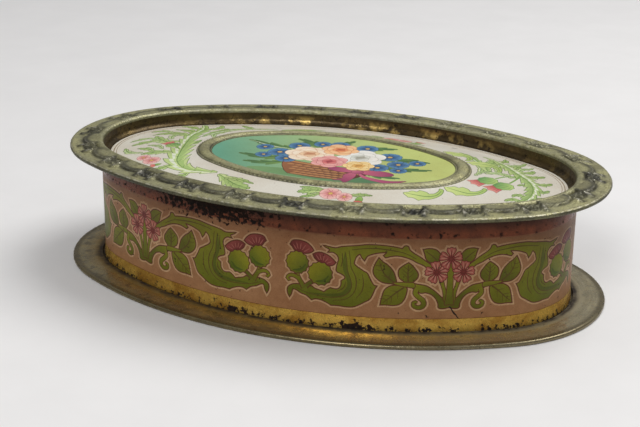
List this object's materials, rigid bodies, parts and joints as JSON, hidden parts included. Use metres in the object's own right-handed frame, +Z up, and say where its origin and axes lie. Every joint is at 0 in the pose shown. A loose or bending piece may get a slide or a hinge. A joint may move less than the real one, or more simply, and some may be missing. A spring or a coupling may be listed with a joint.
{
  "type": "bobbin box",
  "caption": "Oval printed tin box of bobbin form for sewing bobbins, with a wide curled flange at the base and on the lift-off plug lid, whose sunk panel swells to a framed oval medallion.",
  "frame": {"origin": "middle of the base on the table plane", "axes": "+X along the length of the oval, +Z up out of the mouth, +Y to the back where the side seam is"},
  "size_m": [0.205, 0.129, 0.0467],
  "materials": {
    "printed_tin": "lithographed floral frieze on pink ground between gold bands, lightly worn",
    "gilt_tin": "aged olive gilt lacquer on tinplate, embossed",
    "steel_wire": "drawn soft iron wire",
    "solder": "tarnished soft solder"
  },
  "bodies": {
    "box": {"body_wall": "printed_tin", "mouth_wire": "steel_wire", "seam_solder": "solder", "base_pan": "gilt_tin", "base_rim_wire": "steel_wire", "base_solder": "solder"},
    "lid": {"lid_pan": "gilt_tin", "lid_rim_wire": "steel_wire"}
  },
  "joints": [
    {"name": "lid_lift", "type": "slide", "parent": "box", "child": "lid", "axis": [0, 0, 1], "range_m": [0, 0.06]}
  ]
}
